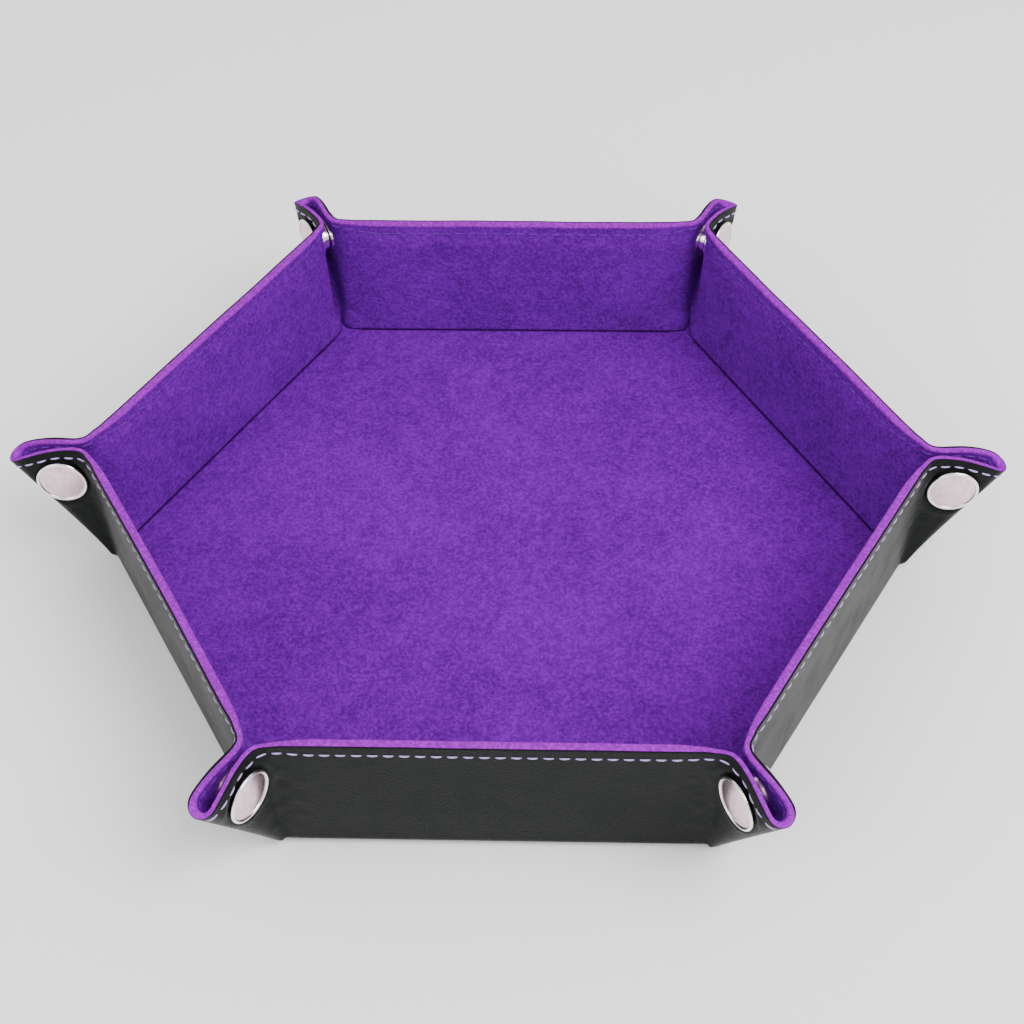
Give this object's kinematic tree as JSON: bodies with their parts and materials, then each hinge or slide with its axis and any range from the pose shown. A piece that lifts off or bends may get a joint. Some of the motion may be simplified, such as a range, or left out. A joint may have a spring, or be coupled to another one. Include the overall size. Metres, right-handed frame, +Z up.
{
  "type": "folding dice tray",
  "caption": "Hexagonal folding tray for rolling dice: a padded sheet whose walls stand up from the floor, with each corner pinched into an ear and held by a press stud.",
  "frame": {"origin": "centre of the tray's bounding box on the table, z = 0 on the underside of the floor", "axes": "+Z up, +X through the middle of the right-hand ear, -Y through the middle of the front wall"},
  "size_m": [0.2324, 0.2046, 0.037],
  "materials": {
    "cover_leather": "fine grained satin black",
    "velvet_lining": "short purple velvet nap",
    "stiffening_board": "plain grey-brown board",
    "press_stud_metal": "polished nickel plate"
  },
  "bodies": {
    "base": {"base_leather": "cover_leather", "base_board": "stiffening_board", "base_lining": "velvet_lining"},
    "rear_right_wall": {"rear_right_wall_leather": "cover_leather", "rear_right_wall_board": "stiffening_board", "rear_right_wall_lining": "velvet_lining"},
    "rear_wall": {"rear_wall_leather": "cover_leather", "rear_wall_board": "stiffening_board", "rear_wall_lining": "velvet_lining"},
    "rear_left_wall": {"rear_left_wall_leather": "cover_leather", "rear_left_wall_board": "stiffening_board", "rear_left_wall_lining": "velvet_lining"},
    "front_left_wall": {"front_left_wall_leather": "cover_leather", "front_left_wall_board": "stiffening_board", "front_left_wall_lining": "velvet_lining"},
    "front_wall": {"front_wall_leather": "cover_leather", "front_wall_board": "stiffening_board", "front_wall_lining": "velvet_lining"},
    "front_right_wall": {"front_right_wall_leather": "cover_leather", "front_right_wall_board": "stiffening_board", "front_right_wall_lining": "velvet_lining"},
    "right_ear_socket_side": {"right_ear_socket_side_leather": "cover_leather", "right_ear_socket_side_lining": "velvet_lining", "right_ear_snap_socket": "press_stud_metal"},
    "right_ear_stud_side": {"right_ear_stud_side_leather": "cover_leather", "right_ear_stud_side_lining": "velvet_lining", "right_ear_snap_stud": "press_stud_metal"},
    "rear_right_ear_socket_side": {"rear_right_ear_socket_side_leather": "cover_leather", "rear_right_ear_socket_side_lining": "velvet_lining", "rear_right_ear_snap_socket": "press_stud_metal"},
    "rear_right_ear_stud_side": {"rear_right_ear_stud_side_leather": "cover_leather", "rear_right_ear_stud_side_lining": "velvet_lining", "rear_right_ear_snap_stud": "press_stud_metal"},
    "rear_left_ear_socket_side": {"rear_left_ear_socket_side_leather": "cover_leather", "rear_left_ear_socket_side_lining": "velvet_lining", "rear_left_ear_snap_socket": "press_stud_metal"},
    "rear_left_ear_stud_side": {"rear_left_ear_stud_side_leather": "cover_leather", "rear_left_ear_stud_side_lining": "velvet_lining", "rear_left_ear_snap_stud": "press_stud_metal"},
    "left_ear_socket_side": {"left_ear_socket_side_leather": "cover_leather", "left_ear_socket_side_lining": "velvet_lining", "left_ear_snap_socket": "press_stud_metal"},
    "left_ear_stud_side": {"left_ear_stud_side_leather": "cover_leather", "left_ear_stud_side_lining": "velvet_lining", "left_ear_snap_stud": "press_stud_metal"},
    "front_left_ear_socket_side": {"front_left_ear_socket_side_leather": "cover_leather", "front_left_ear_socket_side_lining": "velvet_lining", "front_left_ear_snap_socket": "press_stud_metal"},
    "front_left_ear_stud_side": {"front_left_ear_stud_side_leather": "cover_leather", "front_left_ear_stud_side_lining": "velvet_lining", "front_left_ear_snap_stud": "press_stud_metal"},
    "front_right_ear_socket_side": {"front_right_ear_socket_side_leather": "cover_leather", "front_right_ear_socket_side_lining": "velvet_lining", "front_right_ear_snap_socket": "press_stud_metal"},
    "front_right_ear_stud_side": {"front_right_ear_stud_side_leather": "cover_leather", "front_right_ear_stud_side_lining": "velvet_lining", "front_right_ear_snap_stud": "press_stud_metal"}
  },
  "joints": [
    {"name": "front_wall_fold", "type": "hinge", "parent": "base", "child": "front_wall", "pos_m": [0, -0.0815, 0.0029], "axis": [1, 0, 0], "range_deg": [0, 87]},
    {"name": "rear_right_wall_fold", "type": "hinge", "parent": "base", "child": "rear_right_wall", "pos_m": [0.07058, 0.04075, 0.0029], "axis": [-0.5, 0.866, 0], "range_deg": [0, 87]},
    {"name": "rear_wall_fold", "type": "hinge", "parent": "base", "child": "rear_wall", "pos_m": [0, 0.0815, 0.0029], "axis": [-1, 0, 0], "range_deg": [0, 87]},
    {"name": "rear_left_wall_fold", "type": "hinge", "parent": "base", "child": "rear_left_wall", "pos_m": [-0.07058, 0.04075, 0.0029], "axis": [-0.5, -0.866, 0], "range_deg": [0, 87]},
    {"name": "front_left_wall_fold", "type": "hinge", "parent": "base", "child": "front_left_wall", "pos_m": [-0.07058, -0.04075, 0.0029], "axis": [0.5, -0.866, 0], "range_deg": [0, 87]},
    {"name": "front_right_wall_fold", "type": "hinge", "parent": "base", "child": "front_right_wall", "pos_m": [0.07058, -0.04075, 0.0029], "axis": [0.5, 0.866, 0], "range_deg": [0, 87]},
    {"name": "right_ear_socket_side_fold", "type": "hinge", "parent": "rear_right_wall", "child": "right_ear_socket_side", "pos_m": [0.09555, 0.0033, 0.00275], "axis": [-0.0604, 0, -0.9982], "range_deg": [0, 60.05]},
    {"name": "right_ear_stud_side_fold", "type": "hinge", "parent": "front_right_wall", "child": "right_ear_stud_side", "pos_m": [0.09555, -0.0033, 0.00275], "axis": [0.0604, 0, 0.9982], "range_deg": [0, 60.05]},
    {"name": "rear_right_ear_socket_side_fold", "type": "hinge", "parent": "rear_wall", "child": "rear_right_ear_socket_side", "pos_m": [0.04492, 0.0844, 0.00275], "axis": [-0.0302, -0.0523, -0.9982], "range_deg": [0, 60.05]},
    {"name": "rear_right_ear_stud_side_fold", "type": "hinge", "parent": "rear_right_wall", "child": "rear_right_ear_stud_side", "pos_m": [0.05063, 0.0811, 0.00275], "axis": [0.0302, 0.0523, 0.9982], "range_deg": [0, 60.05]},
    {"name": "rear_left_ear_socket_side_fold", "type": "hinge", "parent": "rear_left_wall", "child": "rear_left_ear_socket_side", "pos_m": [-0.05063, 0.0811, 0.00275], "axis": [0.0302, -0.0523, -0.9982], "range_deg": [0, 60.05]},
    {"name": "rear_left_ear_stud_side_fold", "type": "hinge", "parent": "rear_wall", "child": "rear_left_ear_stud_side", "pos_m": [-0.04492, 0.0844, 0.00275], "axis": [-0.0302, 0.0523, 0.9982], "range_deg": [0, 60.05]},
    {"name": "left_ear_socket_side_fold", "type": "hinge", "parent": "front_left_wall", "child": "left_ear_socket_side", "pos_m": [-0.09555, -0.0033, 0.00275], "axis": [0.0604, 0, -0.9982], "range_deg": [0, 60.05]},
    {"name": "left_ear_stud_side_fold", "type": "hinge", "parent": "rear_left_wall", "child": "left_ear_stud_side", "pos_m": [-0.09555, 0.0033, 0.00275], "axis": [-0.0604, 0, 0.9982], "range_deg": [0, 60.05]},
    {"name": "front_left_ear_socket_side_fold", "type": "hinge", "parent": "front_wall", "child": "front_left_ear_socket_side", "pos_m": [-0.04492, -0.0844, 0.00275], "axis": [0.0302, 0.0523, -0.9982], "range_deg": [0, 60.05]},
    {"name": "front_left_ear_stud_side_fold", "type": "hinge", "parent": "front_left_wall", "child": "front_left_ear_stud_side", "pos_m": [-0.05063, -0.0811, 0.00275], "axis": [-0.0302, -0.0523, 0.9982], "range_deg": [0, 60.05]},
    {"name": "front_right_ear_socket_side_fold", "type": "hinge", "parent": "front_right_wall", "child": "front_right_ear_socket_side", "pos_m": [0.05063, -0.0811, 0.00275], "axis": [-0.0302, 0.0523, -0.9982], "range_deg": [0, 60.05]},
    {"name": "front_right_ear_stud_side_fold", "type": "hinge", "parent": "front_wall", "child": "front_right_ear_stud_side", "pos_m": [0.04492, -0.0844, 0.00275], "axis": [0.0302, -0.0523, 0.9982], "range_deg": [0, 60.05]}
  ],
  "couplings": [
    {"joint": "rear_right_wall_fold", "follows": "front_wall_fold", "ratio": 1},
    {"joint": "rear_wall_fold", "follows": "front_wall_fold", "ratio": 1},
    {"joint": "rear_left_wall_fold", "follows": "front_wall_fold", "ratio": 1},
    {"joint": "front_left_wall_fold", "follows": "front_wall_fold", "ratio": 1},
    {"joint": "front_right_wall_fold", "follows": "front_wall_fold", "ratio": 1},
    {"joint": "right_ear_socket_side_fold", "follows": "front_wall_fold", "ratio": 0.69018},
    {"joint": "right_ear_stud_side_fold", "follows": "front_wall_fold", "ratio": 0.69018},
    {"joint": "rear_right_ear_socket_side_fold", "follows": "front_wall_fold", "ratio": 0.69018},
    {"joint": "rear_right_ear_stud_side_fold", "follows": "front_wall_fold", "ratio": 0.69018},
    {"joint": "rear_left_ear_socket_side_fold", "follows": "front_wall_fold", "ratio": 0.69018},
    {"joint": "rear_left_ear_stud_side_fold", "follows": "front_wall_fold", "ratio": 0.69018},
    {"joint": "left_ear_socket_side_fold", "follows": "front_wall_fold", "ratio": 0.69018},
    {"joint": "left_ear_stud_side_fold", "follows": "front_wall_fold", "ratio": 0.69018},
    {"joint": "front_left_ear_socket_side_fold", "follows": "front_wall_fold", "ratio": 0.69018},
    {"joint": "front_left_ear_stud_side_fold", "follows": "front_wall_fold", "ratio": 0.69018},
    {"joint": "front_right_ear_socket_side_fold", "follows": "front_wall_fold", "ratio": 0.69018},
    {"joint": "front_right_ear_stud_side_fold", "follows": "front_wall_fold", "ratio": 0.69018}
  ]
}
